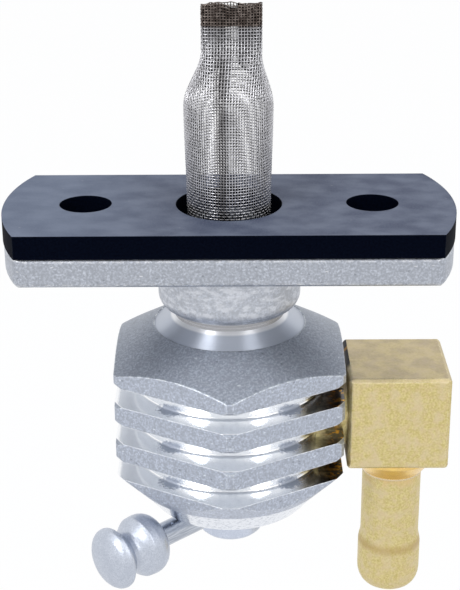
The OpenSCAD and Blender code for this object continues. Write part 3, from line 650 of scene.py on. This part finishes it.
turns = (np.arange(columns) + 0.25) / columns
heights = FOOT_Z + np.arange(rows + 1) * (TOP_Z - FOOT_Z) / rows
spots, outs = cloth(turns, heights)
weave = np.where((np.arange(rows + 1)[:, None] + np.arange(columns)[None, :]) % 2, 1.0, -1.0)[:, :, None]
over = spots + outs * weave * WAVE_MM
under = spots - outs * weave * WAVE_MM
warp = tubes("sock_warp", over.transpose(1, 0, 2), outs.transpose(1, 0, 2), WIRE_MM, False)
weft = tubes("sock_weft", under, outs, WIRE_MM, True)

# The lap down the front: a second, narrow layer behind the first, half a pitch out of step
LAP_WIRES = 4
lap_turns = (np.arange(LAP_WIRES) - 3.25) / columns
lap_heights = heights[:-1] + 0.5 * PITCH_MM
lap_spots, lap_outs = cloth(lap_turns % 1.0, lap_heights, inset=0.2)
lap_weave = np.where((np.arange(rows)[:, None] + np.arange(LAP_WIRES)[None, :]) % 2, 1.0, -1.0)[:, :, None]
lap_warp = tubes("lap_warp", (lap_spots + lap_outs * lap_weave * WAVE_MM).transpose(1, 0, 2),
                 lap_outs.transpose(1, 0, 2), WIRE_MM, False)
lap_weft = tubes("lap_weft", lap_spots - lap_outs * lap_weave * WAVE_MM, lap_outs, WIRE_MM, False)


def crimp_core():
    """The pressed inner folds of the crimp, drawn as one thin strip between its two faces."""
    steps = 24
    xs = np.linspace(-0.96, 0.96, steps)
    low, high = CRIMP_Z + 0.05, TOP_Z - 0.55
    points = []
    for z in (low, high):
        width, depth, _, lean = section(z)
        points += [((width * x + lean) * MM, 0.3 * depth * math.sin(9 * x) * MM, z * MM) for x in xs]
    faces = [(i, i + 1, steps + i + 1, steps + i) for i in range(steps - 1)]
    mesh = bpy.data.meshes.new("crimp_core")
    mesh.from_pydata(points, [], faces)
    piece = bpy.data.objects.new("crimp_core", mesh)
    bpy.context.scene.collection.objects.link(piece)
    return piece


core = crimp_core()
print("wires:", sum(len(o.data.polygons) for o in (warp, weft, lap_warp, lap_weft)), "faces")


# %% Wire finish
def sock_wire(name, share):
    """Stainless wire, browned where the crimp was pressed and heated, with painted shade on faces turned inward and
    low down; share paints shade on the layers behind.
    """
    tree = Tree(name, (0.52, 0.5, 0.49))
    _, _, z = tree.split()
    fine = tree.noise(0.5, 2.0)
    burnt = tree.ramp(tree.math("ADD", z, tree.math("MULTIPLY", tree.math("SUBTRACT", fine, 0.5), 0.0004)),
                      0.0209, 0.0214)
    base = tree.colour(tree.ramp(fine, 0.3, 0.7), (0.50, 0.497, 0.52), (0.74, 0.74, 0.78))
    # Painted shade: wire faces turned towards the sock's axis are painted nearly black
    outward = tree.vector("DOT_PRODUCT", tree.vector("MULTIPLY", tree.place, (1000.0, 1000.0, 0.0)), tree.normal)
    base = tree.colour(tree.ramp(outward, -1.0, 1.5), (0.035, 0.033, 0.032), base)
    x, y, _ = tree.split()
    lap = tree.math("MULTIPLY", band(tree, x, -0.0016, -0.0003, 0.0002), tree.math("LESS_THAN", y, 0.0))
    lap = tree.math("MULTIPLY", lap, tree.ramp(z, 0.0160, 0.0185, 0.60, 0.15))
    base = tree.colour(lap, base, (0.14, 0.13, 0.13))
    # Painted shade: low down, near the bore, wire faces not turned well outward are painted nearly black
    painted_bore_shade = tree.ramp(z, 0.0035, -0.0005)
    base = tree.colour(tree.math("MULTIPLY", painted_bore_shade, tree.ramp(outward, 3.6, 2.0)), base, (0.02, 0.02, 0.021))
    base = tree.colour(burnt, base, tree.colour(tree.ramp(fine, 0.35, 0.65), (0.09, 0.070, 0.062), (0.27, 0.23, 0.21)))
    base = tree.colour(1.0 - share, base, (0.02, 0.018, 0.018))
    return tree.finish(Base_Color=base, Metallic=1.0, Roughness=tree.ramp(fine, 0.3, 0.7, 0.2, 0.32))


# The lap and the crimp's inner folds get a copy with painted shade
wire, behind = sock_wire("filter_mesh", 1.0), sock_wire("filter_mesh_painted_shade", 0.22)
for piece in (warp, weft, lap_warp, lap_weft, core):
    piece.data.materials.append(wire if piece in (warp, weft) else behind)
    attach(piece, "tap")
    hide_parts("filter_screen")
print("the sock's wires stand for the solid filter")

# %% [markdown]
# ## Studio
# The tap was lit in a white tent: white behind, pale below, two long lamps overhead on the
# left and the right, and the dark opening for the camera in front; two more lamps shine from
# the front. The camera, and all that mirrors or is seen through, sees plain white; the
# surroundings painted by direction light only the matt faces.


# %% World and lamps
def make_world():
    world = bpy.data.worlds.new("studio")
    bpy.context.scene.world = world
    world.use_nodes = True
    tree = world.node_tree
    add, link = tree.nodes.new, tree.links.new
    background = tree.nodes["Background"]

    def calc(operation, a, b):
        node = add("ShaderNodeMath")
        node.operation = operation
        for value, socket in ((a, node.inputs[0]), (b, node.inputs[1])):
            if isinstance(value, bpy.types.NodeSocket):
                link(value, socket)
            else:
                socket.default_value = value
        return node.outputs[0]

    def step(value, low, high, to_low, to_high):
        node = add("ShaderNodeMapRange")
        node.interpolation_type = "SMOOTHSTEP"
        link(value, node.inputs["Value"])
        for key, item in (("From Min", low), ("From Max", high), ("To Min", to_low), ("To Max", to_high)):
            node.inputs[key].default_value = item
        return node.outputs["Result"]

    split = add("ShaderNodeSeparateXYZ")
    link(add("ShaderNodeTexCoord").outputs["Generated"], split.inputs[0])
    x, y, z = split.outputs
    level = step(z, 0.55, 0.95, 1.32, 0.42)
    front = calc("MULTIPLY", step(calc("ABSOLUTE", x, 0.0), 0.06, 0.18, 1.0, 0.0),
                 calc("MULTIPLY", step(y, -0.7, -0.6, 1.0, 0.0), step(z, 0.30, 0.42, 0.0, 1.0)))
    level = calc("MULTIPLY", level, step(front, 0.0, 1.0, 1.0, 0.45))
    see = add("ShaderNodeLightPath")
    clear = calc("MAXIMUM", see.outputs["Is Camera Ray"], see.outputs["Is Transmission Ray"])
    white = calc("MAXIMUM", clear, see.outputs["Is Glossy Ray"])
    strength = calc("ADD", calc("MULTIPLY", level, calc("SUBTRACT", 1.0, white)), white)
    link(strength, background.inputs["Strength"])
    background.inputs["Color"].default_value = (1.0, 1.0, 1.0, 1.0)


def make_lamp(name, direction, distance, size, power):
    data = bpy.data.lights.new(name, "AREA")
    data.shape = "RECTANGLE"
    data.size, data.size_y = size
    data.energy = power
    lamp = bpy.data.objects.new(name, data)
    away = Vector(direction).normalized()
    across = Vector((0, 1, 0)).cross(away).normalized()
    turn = Matrix((across, away.cross(across), away)).transposed().to_4x4()
    lamp.matrix_world = Matrix.Translation(away * distance) @ turn
    bpy.context.scene.collection.objects.link(lamp)
    return lamp


def make_floor():
    mesh = bpy.data.meshes.new("floor")
    half, z = 1.2, -0.13
    mesh.from_pydata([(-half, -half, z), (half, -half, z), (half, half, z), (-half, half, z)], [], [(0, 1, 2, 3)])
    floor = bpy.data.objects.new("floor", mesh)
    bpy.context.scene.collection.objects.link(floor)
    tree = Tree("floor_white", (1.0, 1.0, 1.0))
    grain = tree.noise(30.0, 2.0)
    base = tree.colour(grain, (0.80, 0.81, 0.83), (0.84, 0.85, 0.87))
    y = tree.split()[1]
    # Painted shade: the floor's back is painted a bluer grey
    base = tree.colour(tree.ramp(y, 0.08, 0.16), base, (0.76, 0.81, 0.90))
    tree.finish(Base_Color=base, Roughness=0.9)
    glow = tree.add("ShaderNodeEmission", Color=(1.0, 1.0, 1.0, 1.0), Strength=1.0)
    see = tree.add("ShaderNodeLightPath")
    clear = tree.math("MAXIMUM", see.outputs["Is Camera Ray"], see.outputs["Is Transmission Ray"])
    share = tree.math("MULTIPLY", tree.math("MAXIMUM", clear, see.outputs["Is Glossy Ray"]), 0.95)
    mix = tree.add("ShaderNodeMixShader")
    tree.plug(share, mix.inputs[0])
    tree.plug(tree.shader.outputs[0], mix.inputs[1])
    tree.plug(glow.outputs[0], mix.inputs[2])
    tree.plug(mix.outputs[0], tree.nodes["Material Output"].inputs["Surface"])
    mesh.materials.append(tree.material)
    return floor


make_world()
make_lamp("lamp_left", (-0.39, -0.25, 0.88), 0.6, (0.10, 0.30), 0.32)
make_lamp("lamp_right", (0.39, -0.25, 0.88), 0.6, (0.10, 0.30), 0.26)
make_lamp("lamp_front_left", (-0.55, -0.63, 0.55), 0.7, (0.16, 0.3), 1.3)
make_lamp("lamp_front_right", (0.55, -0.63, 0.55), 0.7, (0.12, 0.3), 0.5)
make_floor()
print("studio set")
